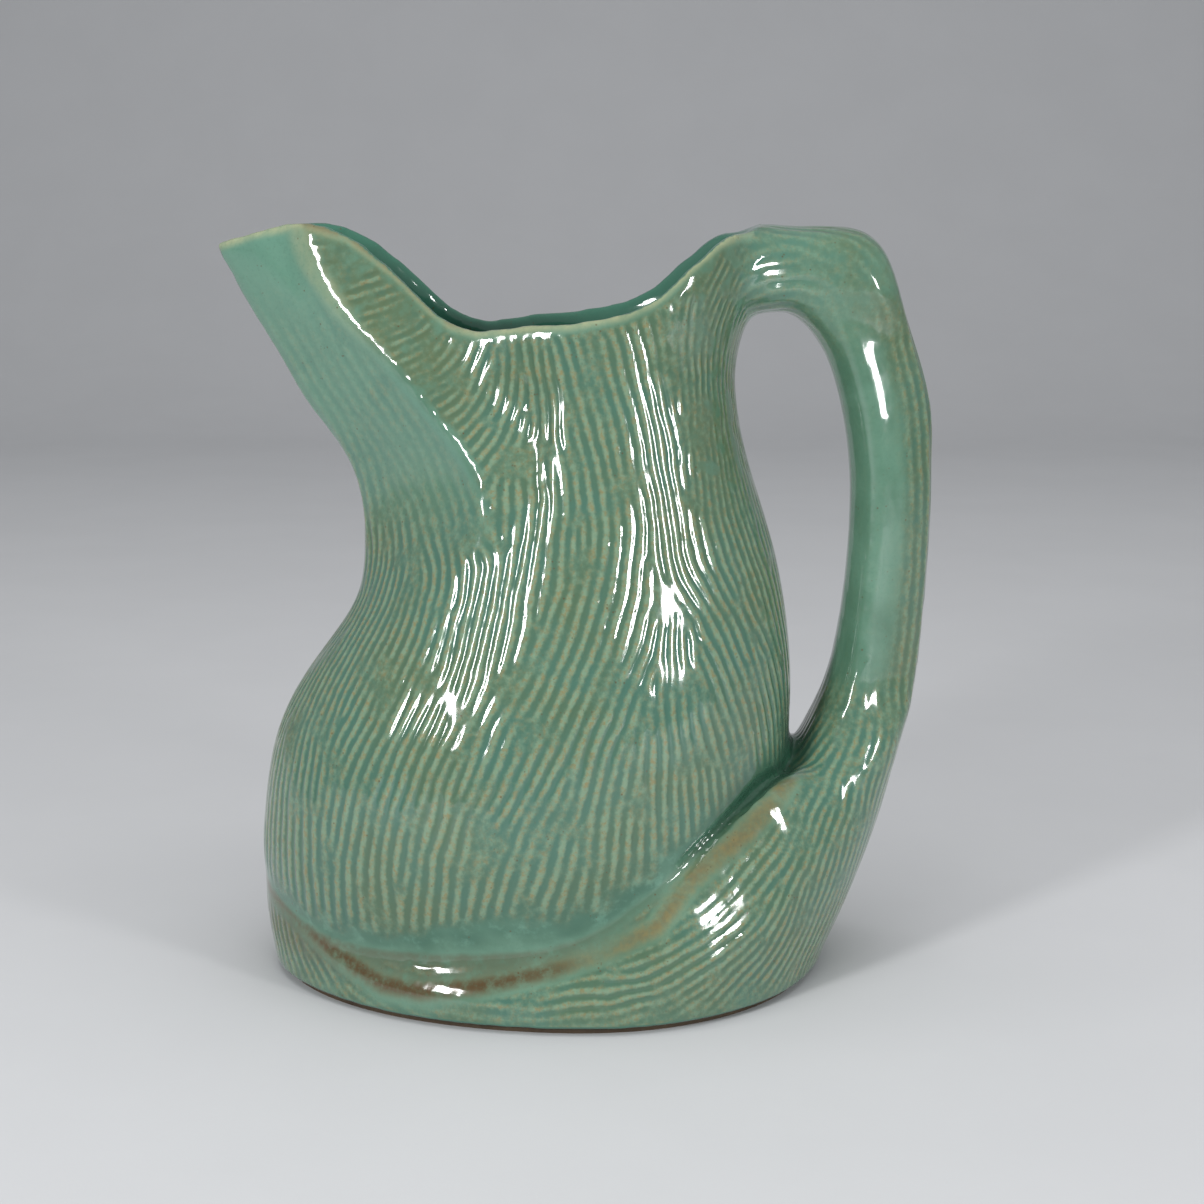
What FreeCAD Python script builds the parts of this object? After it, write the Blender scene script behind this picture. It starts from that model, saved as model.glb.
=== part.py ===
"""A glazed stoneware water pitcher: a gourd-shaped body, a beaked lip, and a handle that sweeps into a skirt.

The clay is luted from formed pieces: the body, the beak, the skirt round the base, the strap handle, the
floor and the bare foot. Lengths are in millimetres. +Z is up, the beak points along -X, and the plane Y = 0
mirrors the pitcher. The origin is on the table, under the middle of the pitcher.
"""
import FreeCAD, Part
import math
import os

from FreeCAD import Vector

SIZES = [
    ("overall_height", 242.0, "table to the highest point of the pouring lip"),
    ("overall_length", 227.0, "tip of the beak to the back of the handle"),
    ("belly_depth", 138.0, "widest part of the belly, side to side"),
    ("body_wall", 5.0, "wall of the body and the beak"),
    ("floor_thickness", 6.0, "floor of the vessel"),
    ("foot_height", 2.5, "bare foot, table to the glazed skirt"),
    ("foot_width", 8.0, "bare foot, across the ring"),
    ("foot_inset", 3.0, "bare foot, in from the lower edge of the skirt"),
    ("skirt_length", 181.0, "lower edge of the skirt, front to back"),
    ("skirt_depth", 146.0, "lower edge of the skirt, side to side"),
    ("root_height", 66.0, "table to the seam between the skirt and the handle"),
    ("handle_height", 240.5, "table to the top of the handle's bridge"),
    ("handle_width", 27.0, "strap handle at the grip, side to side"),
    ("handle_wall", 6.0, "wall round the hollow of the handle"),
    ("overrun", 12.0, "how far a cutting solid runs past what it cuts"),
]

# The body's profiles: height as a share of overall_height, then the place along the pitcher, from its middle,
# as a share of overall_length.
FRONT_SHARES = [
    (0.010, -0.385), (0.050, -0.425), (0.095, -0.447), (0.160, -0.463), (0.245, -0.455), (0.330, -0.435),
    (0.415, -0.383), (0.500, -0.320), (0.560, -0.306), (0.620, -0.305), (0.700, -0.334), (0.766, -0.380),
    (0.820, -0.416), (0.870, -0.446), (0.922, -0.474), (0.962, -0.498), (1.015, -0.511),
]
BACK_SHARES = [
    (0.010, 0.200), (0.090, 0.246), (0.200, 0.286), (0.300, 0.301), (0.390, 0.304), (0.500, 0.292),
    (0.600, 0.268), (0.700, 0.234), (0.790, 0.218), (0.850, 0.228), (0.920, 0.246), (1.015, 0.256),
]
WIDEST_SHARES = [
    (0.010, -0.080), (0.250, -0.080), (0.420, -0.050), (0.600, -0.006), (0.750, 0.034), (0.880, 0.052),
    (1.015, 0.060),
]
# Half the body's depth, as a share of half of belly_depth.
DEPTH_SHARES = [
    (0.010, 0.760), (0.060, 0.870), (0.120, 0.945), (0.220, 1.000), (0.320, 0.985), (0.420, 0.925),
    (0.520, 0.835), (0.620, 0.740), (0.720, 0.660), (0.800, 0.620), (0.880, 0.612), (1.015, 0.620),
]

# The beak: how far an outline is drawn from its oval into the beak, then where the ridge of the beak and the
# hollow behind the ridge run, along the pitcher and across it.
BEAK_SHARES = [(0.480, 0.0), (0.560, 0.30), (0.640, 0.72), (0.720, 1.0), (1.015, 1.0)]
RIDGE_SHARES = [
    (0.480, -0.130), (0.580, -0.090), (0.660, -0.112), (0.730, -0.164), (0.822, -0.250), (0.886, -0.318),
    (0.948, -0.360), (1.015, -0.385),
]
RIDGE_DEPTH_SHARES = [
    (0.480, 0.800), (0.580, 0.760), (0.660, 0.690), (0.730, 0.590), (0.822, 0.475), (0.886, 0.385),
    (0.948, 0.315), (1.015, 0.265),
]
HOLLOW_SHARES = [
    (0.480, -0.060), (0.600, -0.030), (0.730, -0.062), (0.822, -0.118), (0.900, -0.180), (1.015, -0.240),
]
HOLLOW_DEPTH_SHARES = [
    (0.480, 0.850), (0.600, 0.745), (0.730, 0.580), (0.822, 0.495), (0.900, 0.430), (1.015, 0.350),
]
# How round the ridge is, as a share of the wall.
RIDGE_ROUND_SHARES = [(0.480, 1.60), (0.600, 1.00), (0.860, 0.90), (0.930, 1.20), (1.015, 1.40)]
SECTION_COUNT = 15
LOWEST_SECTION_SHARE = 0.0104
HIGHEST_SECTION_SHARE = 1.012

# The lip, seen from the side, from the tip of the beak to the bridge: along the pitcher, and height.
LIP_SHARES = [
    (-0.560, 0.955), (-0.502, 0.972), (-0.440, 0.989), (-0.372, 1.000), (-0.312, 0.985), (-0.250, 0.942),
    (-0.202, 0.899), (-0.170, 0.876), (-0.132, 0.867), (-0.092, 0.872), (-0.008, 0.879), (0.063, 0.891),
    (0.096, 0.904), (0.122, 0.922), (0.146, 0.944), (0.166, 0.960), (0.191, 0.979), (0.220, 0.988),
    (0.320, 0.992),
]

# The seam between body and beak, seen from the side, from the lip down: along the pitcher, and height.
BEAK_SEAM_SHARES = [(-0.128, 0.880), (-0.305, 0.590)]

# The skirt, at stations round the base from the front to the back. A station's angle gives its place on the
# lower edge. The crest and the groove that the belly sits in are given along the pitcher and across it, as
# shares of skirt_length and skirt_depth, and in height, as shares of root_height.
STATION_ANGLES = [0, 12, 25, 50, 70, 90, 110, 130, 150, 165, 180]
CREST_SHARES = [
    (-0.578, 0.000, 0.470), (-0.566, 0.099, 0.450), (-0.525, 0.194, 0.380), (-0.373, 0.360, 0.220),
    (-0.188, 0.466, 0.171), (0.006, 0.486, 0.235), (0.163, 0.455, 0.515), (0.309, 0.353, 0.788),
    (0.464, 0.212, 1.000), (0.550, 0.110, 1.090), (0.580, 0.000, 1.090),
]
GROOVE_SHARES = [
    (-0.541, 0.000, 0.470), (-0.530, 0.092, 0.455), (-0.492, 0.175, 0.409), (-0.381, 0.315, 0.333),
    (-0.199, 0.404, 0.348), (0.006, 0.411, 0.424), (0.149, 0.363, 0.697), (0.254, 0.267, 0.955),
    (0.337, 0.164, 1.060), (0.365, 0.082, 1.090), (0.370, 0.000, 1.090),
]
SKIRT_WIDEST_SHARE = 0.011
SKIRT_MIDDLE_SHARE = -0.061
SKIRT_TUCK_SHARE = 0.60
SKIRT_BULGE_SHARE = 0.035

# The strap handle, from inside the body's wall over the bridge and down to the seam with the skirt. A station
# has a point on the inner face, a point on the outer face, and half its width. Places along the pitcher are
# shares of overall_length, heights are shares of handle_height, and widths are shares of handle_width.
STRAP_SHARES = [
    ((0.205, 0.880), (0.205, 1.000), 0.85), ((0.262, 0.892), (0.264, 1.000), 0.72),
    ((0.306, 0.886), (0.330, 1.000), 0.60), ((0.338, 0.855), (0.402, 0.984), 0.54),
    ((0.360, 0.815), (0.447, 0.895), 0.50), ((0.380, 0.745), (0.484, 0.785), 0.50),
    ((0.391, 0.655), (0.499, 0.668), 0.50), ((0.387, 0.558), (0.497, 0.549), 0.51),
    ((0.371, 0.455), (0.489, 0.425), 0.55), ((0.344, 0.365), (0.476, 0.345), 0.67),
]
ROOT_SHARES = (0.298, 0.459, 0.98)
# The hollow goes on down inside the skirt: two points across it and half its width, in shares of
# skirt_length, root_height and handle_width.
SKIRT_HOLLOW_SHARES = [
    ((0.400, 0.660), (0.520, 0.660), 0.80), ((0.380, 0.330), (0.475, 0.330), 0.80),
    ((0.350, 0.150), (0.430, 0.150), 0.60),
]
# The hollow starts after so many stations, and has an outline at each of them that this step meets.
SOLID_STATION_COUNT = 2
HOLLOW_STEP_COUNT = 2
STRAP_SQUARENESS_SHARE = 0.72
STRAP_CORNER_COUNT = 12

# Angles round a body outline, front to back, from an oval. So many of its points come before the ridge, and
# so many before the hollow.
OVAL_ANGLES = [0, 16, 34, 46, 52, 58, 72, 82, 94, 116, 140, 162, 180]
RIDGE_COUNT = 4
HOLLOW_COUNT = 6
# The side of the beak between its nose and the ridge: how far along each point lies, and how far it swells.
BEAK_SIDE_SHARES = [(0.22, 0.75), (0.58, 0.375)]
BODY_EDGE_COUNT = 2
STRAP_EDGE_COUNT = 4
# So many stations of the skirt are repeated past the mirror plane.
PAST_MIRROR_COUNT = 2
FOOT_ANGLES = range(0, 181, 20)


def fill_sheet(document):
    """Write the driving sizes into the sheet, one row each: name, value and meaning."""
    sheet = document.addObject("Spreadsheet::Sheet", "sizes")
    for row, (name, value, meaning) in enumerate(SIZES, start=1):
        sheet.set(f"A{row}", name)
        sheet.set(f"B{row}", str(value))
        sheet.set(f"C{row}", meaning)
        sheet.setAlias(f"B{row}", name)
    document.recompute()
    return sheet


document = FreeCAD.newDocument("pitcher")
sheet = fill_sheet(document)
size = {name: float(sheet.get(name)) for name, value, meaning in SIZES}
height = size["overall_height"]
length = size["overall_length"]
wall = size["body_wall"]


def along(points, place):
    """Read a smooth curve through (place, value) points that never swings past them."""
    places = [point[0] for point in points]
    values = [point[1] for point in points]
    slopes = [(values[i + 1] - values[i]) / (places[i + 1] - places[i]) for i in range(len(points) - 1)]
    tangents = [slopes[0]]
    for before, after in zip(slopes, slopes[1:]):
        tangents.append(0.0 if before * after <= 0.0 else 2.0 * before * after / (before + after))
    tangents.append(slopes[-1])
    place = min(max(place, places[0]), places[-1])
    span = next(i for i in range(len(slopes)) if place <= places[i + 1])
    width = places[span + 1] - places[span]
    part = (place - places[span]) / width
    start, end = values[span], values[span + 1]
    rise = end - start
    bend_in = tangents[span] * width - rise
    bend_out = rise - tangents[span + 1] * width
    return start + rise * part + part * (1.0 - part) * ((1.0 - part) * bend_in + part * bend_out)


def ring_marks(rings):
    """Curve parameters that all the rings share: how far round each point lies, on average."""
    count = len(rings[0])
    marks = [0.0] * (count + 1)
    for ring in rings:
        runs = [(ring[(place + 1) % count] - ring[place]).Length for place in range(count)]
        for place in range(count):
            marks[place + 1] += sum(runs[:place + 1]) / sum(runs) / len(rings)
    return marks


def closed_wire(points, edges, marks=None):
    """A closed smooth curve through the points, as so many edges that a loft can match one to one."""
    marks = marks or ring_marks([points])
    curve = Part.BSplineCurve()
    curve.interpolate(Points=points, PeriodicFlag=True, Parameters=marks)
    ends = [place / edges for place in range(edges + 1)]
    return Part.Wire([curve.toShape(start, end) for start, end in zip(ends, ends[1:])])


def mirrored_ring(half):
    """Points of a whole outline from its half with Y above zero, whose ends are on Y = 0."""
    return half + [Vector(point.x, -point.y, point.z) for point in half[-2:0:-1]]


def body_half(share):
    """Half an outline of the body's outer face at a height, front to back."""
    front = length * along(FRONT_SHARES, share)
    back = length * along(BACK_SHARES, share)
    widest = length * along(WIDEST_SHARES, share)
    depth = size["belly_depth"] / 2 * along(DEPTH_SHARES, share)
    beak = along(BEAK_SHARES, share)
    half = []
    for place, angle in enumerate(OVAL_ANGLES):
        turn = math.radians(angle)
        end = front if angle < 90 else back
        x = widest + (end - widest) * abs(math.cos(turn))
        y = depth * math.sin(turn)
        half.append(Vector(x, y, height * share))
    side = size["belly_depth"] / 2
    nose = Vector(front, 0, 0)
    ridge = Vector(length * along(RIDGE_SHARES, share), side * along(RIDGE_DEPTH_SHARES, share), 0)
    hollow = Vector(length * along(HOLLOW_SHARES, share), side * along(HOLLOW_DEPTH_SHARES, share), 0)
    round_reach = wall * along(RIDGE_ROUND_SHARES, share)
    to_nose = (nose - ridge).normalize() * round_reach
    to_hollow = (hollow - ridge).normalize() * round_reach
    targets = {
        place: nose + (ridge - nose) * run + Vector(0, wall * swell, 0)
        for place, (run, swell) in enumerate(BEAK_SIDE_SHARES, start=1)
    }
    targets |= {
        RIDGE_COUNT - 1: ridge + to_nose,
        RIDGE_COUNT: ridge,
        RIDGE_COUNT + 1: ridge + to_hollow,
        HOLLOW_COUNT: hollow,
    }
    for place, target in targets.items():
        half[place].x += beak * (target.x - half[place].x)
        half[place].y += beak * (target.y - half[place].y)
    return half


def drawn_in(half, distance):
    """The outline moved in by a wall, square to itself."""
    ring = mirrored_ring(half)
    moved = []
    for place in range(len(half)):
        before, after = ring[place - 1], ring[(place + 1) % len(ring)]
        run = Vector(after.x - before.x, after.y - before.y, 0)
        inward = Vector(run.y, -run.x, 0).normalize()
        moved.append(half[place] + inward * distance)
    return moved


def outline_object(name, wire):
    outline = document.addObject("Part::Feature", name)
    outline.Shape = wire
    return outline


def loft_object(name, outlines):
    loft = document.addObject("Part::Loft", name)
    loft.Sections = outlines
    loft.Solid = True
    return loft


def slab_object(name, face):
    """A face in the mirror plane drawn out to both sides, past the widest of the pitcher."""
    slab = document.addObject("Part::Extrusion", name)
    slab.Base = outline_object(f"{name}_outline", face)
    slab.Dir = Vector(0, 1, 0)
    slab.Symmetric = True
    slab.setExpression("LengthFwd", "sizes.skirt_depth + sizes.overrun")
    return slab


def boolean_object(kind, name, base, tool):
    result = document.addObject(f"Part::{kind}", name)
    result.Base = base
    result.Tool = tool
    return result


def body_lofts():
    """The body's outer and inner faces as solids, open through the lip."""
    reach = HIGHEST_SECTION_SHARE - LOWEST_SECTION_SHARE
    shares = [LOWEST_SECTION_SHARE + reach * place / (SECTION_COUNT - 1) for place in range(SECTION_COUNT)]
    halves = [body_half(share) for share in shares]
    marks = ring_marks([mirrored_ring(half) for half in halves])
    lofts = []
    for name, distance in (("outside", 0.0), ("inside", wall)):
        rings = [mirrored_ring(drawn_in(half, distance)) for half in halves]
        wires = [closed_wire(ring, BODY_EDGE_COUNT, marks) for ring in rings]
        outlines = [outline_object(f"{name}_outline_{k}", wire) for k, wire in enumerate(wires)]
        lofts.append(loft_object(f"body_{name}", outlines))
    return lofts


def lip_cutter():
    """Everything above the lip, across the whole pitcher."""
    points = [Vector(length * x, 0, height * z) for x, z in LIP_SHARES]
    lip = Part.BSplineCurve()
    lip.interpolate(Points=points)
    top = height + size["overrun"]
    first, last = points[0], points[-1]
    corners = [last, Vector(last.x, 0, top), Vector(first.x, 0, top), first]
    edges = [lip.toShape()] + [Part.makeLine(start, end) for start, end in zip(corners, corners[1:])]
    return slab_object("above_lip", Part.Face(Part.Wire(edges)))


def beak_side():
    """Everything on the beak's side of the seam between body and beak."""
    top, bottom = [Vector(length * x, 0, height * z) for x, z in BEAK_SEAM_SHARES]
    down = (bottom - top).normalize()
    upper = top - down * height
    lower = bottom + down * size["overrun"]
    ahead = Vector(down.z, 0, -down.x) * length
    border = Part.makePolygon([upper, lower, lower + ahead, upper + ahead, upper])
    return slab_object("beak_region", Part.Face(border))


def base_edge(turn, inset=0.0):
    """A point of the egg that the skirt's lower edge draws, or of one drawn in from it."""
    long = size["skirt_length"]
    middle = long * SKIRT_MIDDLE_SHARE
    widest = long * SKIRT_WIDEST_SHARE
    end = middle - long / 2 + inset if turn < math.pi / 2 else middle + long / 2 - inset
    across = (size["skirt_depth"] / 2 - inset) * math.sin(turn)
    return Vector(widest + (end - widest) * abs(math.cos(turn)), across, 0)


def skirt_station(place, side=1):
    """One upright outline of the skirt: under the belly, lower edge, crest and groove."""
    scales = (size["skirt_length"], side * size["skirt_depth"], size["root_height"])
    edge = base_edge(math.radians(STATION_ANGLES[place]))
    edge = Vector(edge.x, side * edge.y, size["foot_height"])
    tuck = Vector(edge.x * SKIRT_TUCK_SHARE, edge.y * SKIRT_TUCK_SHARE, edge.z)
    crest = Vector(*[scale * share for scale, share in zip(scales, CREST_SHARES[place])])
    groove = Vector(*[scale * share for scale, share in zip(scales, GROOVE_SHARES[place])])
    outward = Vector(edge.x, edge.y, 0).normalize()
    swell = (edge + crest) / 2 + outward * (crest - edge).Length * SKIRT_BULGE_SHARE
    edges = [
        Part.makeLine(tuck, edge), Part.Arc(edge, swell, crest).toShape(), Part.makeLine(crest, groove),
        Part.makeLine(groove, tuck),
    ]
    return Part.Wire(edges)


def skirt_loft():
    """Half the skirt, lofted a little past the mirror plane at both ends so that it crosses it squarely."""
    places = list(range(len(STATION_ANGLES)))
    before = places[PAST_MIRROR_COUNT:0:-1]
    after = places[-PAST_MIRROR_COUNT - 1:-1][::-1]
    wires = [skirt_station(place, -1) for place in before]
    wires += [skirt_station(place) for place in places]
    wires += [skirt_station(place, -1) for place in after]
    outlines = [outline_object(f"skirt_outline_{k}", wire) for k, wire in enumerate(wires)]
    return loft_object("half_skirt", outlines)


def strap_ring(inner, outer, half_width):
    """The points of one outline of the strap: a rounded rectangle square to its run."""
    middle = (inner + outer) / 2
    reach = (outer - inner) / 2
    points = []
    for corner in range(STRAP_CORNER_COUNT):
        turn = 2 * math.pi * corner / STRAP_CORNER_COUNT
        run, side = math.cos(turn), math.sin(turn)
        run = math.copysign(abs(run) ** STRAP_SQUARENESS_SHARE, run)
        side = math.copysign(abs(side) ** STRAP_SQUARENESS_SHARE, side)
        points.append(middle + reach * run + Vector(0, half_width * side, 0))
    return points


def strap_loft(name, stations):
    """A solid through the outlines at the stations."""
    wires = [closed_wire(strap_ring(*station), STRAP_EDGE_COUNT) for station in stations]
    return loft_object(name, [outline_object(f"{name}_outline_{k}", wire) for k, wire in enumerate(wires)])


def strap_stations():
    """The strap's inner points, outer points and half widths, down to its root."""
    stations = []
    for inner, outer, share in STRAP_SHARES:
        low = Vector(length * inner[0], 0, size["handle_height"] * inner[1])
        high = Vector(length * outer[0], 0, size["handle_height"] * outer[1])
        stations.append((low, high, size["handle_width"] * share))
    inner_x, outer_x, share = ROOT_SHARES
    low = Vector(length * inner_x, 0, size["root_height"])
    high = Vector(length * outer_x, 0, size["root_height"])
    stations.append((low, high, size["handle_width"] * share))
    return stations


def strap_lofts():
    """The strap handle, and the hollow inside it that runs on down into the skirt."""
    stations = strap_stations()
    cores = []
    for low, high, half_width in stations[SOLID_STATION_COUNT::HOLLOW_STEP_COUNT]:
        inset = (high - low).normalize() * size["handle_wall"]
        cores.append((low + inset, high - inset, half_width - size["handle_wall"]))
    for inner, outer, share in SKIRT_HOLLOW_SHARES:
        low = Vector(size["skirt_length"] * inner[0], 0, size["root_height"] * inner[1])
        high = Vector(size["skirt_length"] * outer[0], 0, size["root_height"] * outer[1])
        cores.append((low, high, size["handle_width"] * share))
    return strap_loft("strap", stations), strap_loft("strap_hollow", cores)


def foot_outline(inset):
    """An egg drawn in from the skirt's lower edge, as a face on the table."""
    ring = mirrored_ring([base_edge(math.radians(angle), inset) for angle in FOOT_ANGLES])
    return Part.Face(closed_wire(ring, BODY_EDGE_COUNT))


def standing_box(name, low, sizes):
    """A box from its lowest corner and its three lengths, all worked out by the sheet."""
    box = document.addObject("Part::Box", name)
    for side, expression in zip(("Length", "Width", "Height"), sizes):
        box.setExpression(side, expression)
    for axis, expression in zip("xyz", low):
        box.setExpression(f"Placement.Base.{axis}", expression)
    return box


outside, inside = body_lofts()
above_lip = lip_cutter()
beak_region = beak_side()
thrown_wall = boolean_object("Cut", "thrown_wall", outside, inside)
trimmed_wall = boolean_object("Cut", "trimmed_wall", thrown_wall, above_lip)
body_shell = boolean_object("Cut", "body_shell", trimmed_wall, beak_region)
spout = boolean_object("Common", "spout", trimmed_wall, beak_region)

ALL_ROUND = ("2 * sizes.overall_length", "2 * sizes.overall_length")
floor_slab = standing_box(
    "floor_slab", ("-sizes.overall_length", "-sizes.overall_length", "0"),
    ALL_ROUND + ("sizes.foot_height + sizes.floor_thickness",),
)
vessel_floor = boolean_object("Common", "vessel_floor", inside, floor_slab)

strap, strap_hollow = strap_lofts()
luted_strap = boolean_object("Cut", "luted_strap", strap, outside)
handle = boolean_object("Cut", "handle", luted_strap, strap_hollow)

half_skirt = skirt_loft()
mirror_side = standing_box(
    "mirror_side", ("-sizes.overall_length", "-2 * sizes.overall_length", "0"),
    ALL_ROUND + ("sizes.overall_height",),
)
near_skirt = boolean_object("Cut", "near_skirt", half_skirt, mirror_side)
far_skirt = document.addObject("Part::Mirroring", "far_skirt")
far_skirt.Source = near_skirt
far_skirt.Normal = Vector(0, 1, 0)
whole_skirt = boolean_object("Fuse", "whole_skirt", near_skirt, far_skirt)
whole_skirt.Refine = True
above_root = standing_box(
    "above_root", ("-sizes.overall_length", "-sizes.overall_length", "sizes.root_height"),
    ALL_ROUND + ("sizes.overall_height",),
)
low_skirt = boolean_object("Cut", "low_skirt", whole_skirt, above_root)
luted_skirt = boolean_object("Cut", "luted_skirt", low_skirt, outside)
base_skirt = boolean_object("Cut", "base_skirt", luted_skirt, strap_hollow)

foot_ring = document.addObject("Part::Extrusion", "foot_ring")
foot_face = foot_outline(size["foot_inset"]).cut(foot_outline(size["foot_inset"] + size["foot_width"]))
foot_ring.Base = outline_object("foot_outline", foot_face)
foot_ring.Dir = Vector(0, 0, 1)
foot_ring.setExpression("LengthFwd", "sizes.foot_height")

PIECES = {
    "body_shell": body_shell, "spout": spout, "base_skirt": base_skirt, "handle": handle,
    "vessel_floor": vessel_floor, "foot_ring": foot_ring,
}
document.recompute()
for item in document.Objects:
    if "Invalid" in item.State or "Error" in item.State:
        raise RuntimeError(f"{item.Name}: {item.State}")
for name, piece in PIECES.items():
    if piece.Shape.isNull() or not piece.Shape.isValid():
        raise RuntimeError(f"{name} isn't a sound solid")

os.makedirs("parts", exist_ok=True)
for name, piece in PIECES.items():
    piece.Label = name
    piece.Shape.exportStep(f"parts/{name}.step")
    shape = piece.Shape
    print(name, len(shape.Solids), "solid", len(shape.Faces), "faces", round(shape.Volume), "mm3")
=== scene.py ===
"""The glazed pitcher's looks: combed clay under a running sea-green glaze, on a pale studio floor.

Lengths are in metres in the part's frame: +Z is up and the beak points along -X. Tables of places are in
millimetres, as they are read off the pitcher's side.
"""
import math

import bmesh
import bpy
import numpy as np
from mathutils import Matrix, Vector, noise
from mathutils.bvhtree import BVHTree
from mathutils.kdtree import KDTree


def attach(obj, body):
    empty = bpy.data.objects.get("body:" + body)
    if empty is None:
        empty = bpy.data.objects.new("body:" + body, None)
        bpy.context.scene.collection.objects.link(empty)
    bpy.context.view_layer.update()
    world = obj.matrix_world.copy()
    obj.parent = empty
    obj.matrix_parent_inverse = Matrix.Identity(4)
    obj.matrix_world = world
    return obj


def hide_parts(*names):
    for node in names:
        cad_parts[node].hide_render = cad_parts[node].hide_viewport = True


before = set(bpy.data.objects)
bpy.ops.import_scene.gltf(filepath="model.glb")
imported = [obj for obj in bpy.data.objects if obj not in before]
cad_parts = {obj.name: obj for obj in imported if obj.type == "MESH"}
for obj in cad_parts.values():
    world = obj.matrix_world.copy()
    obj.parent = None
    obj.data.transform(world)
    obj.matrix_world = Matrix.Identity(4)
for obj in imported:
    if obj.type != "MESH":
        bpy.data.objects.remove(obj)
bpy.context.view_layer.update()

MM = 0.001

# The clay is remeshed from the luted pieces and then refined on the outside, where it is combed.
CLAY_NODES = ("body_shell", "spout", "base_skirt", "handle", "vessel_floor")
CLAY_GRAIN = 1.5 * MM
SMOOTHING_ROUNDS = 5
SEAM_ROUNDS = 26
FINE_ROUNDS = 3

# Where the finished clay is parted into pieces again, along the pitcher and in height.
SKIRT_TOP = 78 * MM
NECK_BASE = 150 * MM
BRIDGE_PLACE = 61.5 * MM
BRIDGE_LOWEST = 165 * MM
GAP_MIDDLE = 72 * MM
BEAK_SEAM = (Vector((-29.1, 0, 213.0)) * MM, Vector((-69.2, 0, 142.8)) * MM)
CUT_REACH = 3 * CLAY_GRAIN
CUT_TOLERANCE = 1e-6

# The pitcher's middle line, by height, and the ridge between the beak's face and its cheek.
MIDDLE_LINE = [
    (0, -10), (50, -20), (80, -15), (110, -6), (130, -3), (145, -4), (180, -16), (205, -24), (242, -27),
]
RIDGE_LINE = [
    (100, -28), (116, -29), (140, -22), (160, -26), (177, -38), (199, -57), (214, -72), (229, -82),
    (246, -88),
]

# Comb strokes seen from the side: place along the pitcher, height, and the way the stroke runs, in degrees.
FACE_STROKES = [
    (-106, 226, -51), (-96, 217, -55), (-87, 208, -55), (-85, 191, -60), (-73, 188, -52), (-74, 174, -71),
    (-60, 175, -53), (-68, 161, -76), (-54, 159, -46), (-42, 158, -51), (-64, 142, -67), (-49, 142, -55),
    (-36, 147, -58),
]
CHEEK_STROKES = [
    (-77, 232, -170), (-77, 227, -171), (-69, 221, -165), (-59, 218, -164), (-54, 210, -156),
    (-63, 209, -159), (-44, 197, -148), (-45, 191, -158), (-41, 184, -148), (-38, 205, -122),
    (-39, 200, -134), (-32, 176, -134), (-30, 206, -106), (-33, 195, -114), (-21, 206, -86),
    (-20, 196, -99), (-24, 182, -110), (-29, 173, -121),
]
NECK_STROKES = [
    (-15, 207, -75), (-12, 196, -78), (-8, 205, -71), (-4, 192, -71), (0, 176, -76), (5, 207, -74),
    (11, 190, -76), (15, 170, -80), (16, 209, -75), (23, 183, -78), (26, 163, -85), (24, 216, -82),
    (34, 195, -86), (36, 162, -90), (45, 194, -80), (47, 167, -86), (-10, 168, -78), (4, 154, -88),
    (-17, 154, -92), (19, 148, -94), (-5, 143, -94), (-23, 131, -93), (34, 144, -82), (48, 148, -74),
    (41, 221, -134), (34, 216, -92), (36, 226, -134),
]
BELLY_STROKES = [
    (-52, 123, -86), (-56, 112, -101), (-62, 100, -107), (-69, 86, -112), (-42, 118, -95), (-47, 108, -106),
    (-55, 91, -114), (-72, 110, -86), (-81, 97, -84), (-92, 82, -72), (-97, 58, -76), (-84, 68, -86),
    (-86, 50, -94), (-74, 71, -97), (-76, 53, -98), (-61, 79, -110), (-68, 60, -104), (-49, 80, -106),
    (-56, 56, -100), (-35, 87, -112), (-44, 63, -106), (-20, 76, -118), (-32, 58, -110), (-11, 70, -122),
    (-23, 48, -105), (2, 131, -106), (-5, 113, -114), (-14, 96, -118), (13, 141, -101), (10, 122, -108),
    (5, 106, -116), (23, 124, -107), (17, 107, -115), (7, 93, -121), (15, 84, -102), (12, 72, -97),
    (5, 81, -109), (-5, 67, -114), (-11, 51, -103), (2, 51, -97), (22, 86, -95), (22, 74, -90),
    (27, 81, -86), (26, 65, -90), (40, 135, -58), (48, 121, -56), (53, 102, -60), (35, 128, -62),
    (45, 110, -60), (51, 89, -66), (38, 113, -62), (45, 90, -67), (37, 84, -76), (34, 69, -84),
    (58, 113, -52), (50, 135, -60), (29, 118, -98), (31, 100, -92), (43, 77, -78), (-54, 39, -98),
    (-39, 41, -98), (-74, 36, -100), (-15, 30, -96), (10, 36, -93),
]
# The strap and the skirt: the strokes run up the swirl, over the bridge and into the neck.
SWIRL_STROKES = [
    (-104, 20, -86), (-98, 14, -60), (-85, 12, -42), (-60, 9, -22), (-34, 8, -6), (0, 9, 6), (20, 12, 14),
    (30, 24, 28), (50, 20, 26), (55, 42, 42), (70, 30, 46), (75, 56, 52), (88, 40, 62), (86, 68, 64),
    (96, 60, 72), (94, 90, 78), (102, 110, 84), (104, 140, 89), (104, 170, 95), (98, 200, 106),
    (88, 222, 128), (74, 232, 164), (62, 230, 190), (50, 226, 210), (84, 210, 112), (92, 180, 98),
]
# How far apart two places count that lie on either side of the beak's ridge, and how near a stroke rules.
RIDGE_PULL = 26.0
RIDGE_HALF_WIDTH = 3.0
STROKE_REACH = 5.0

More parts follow.
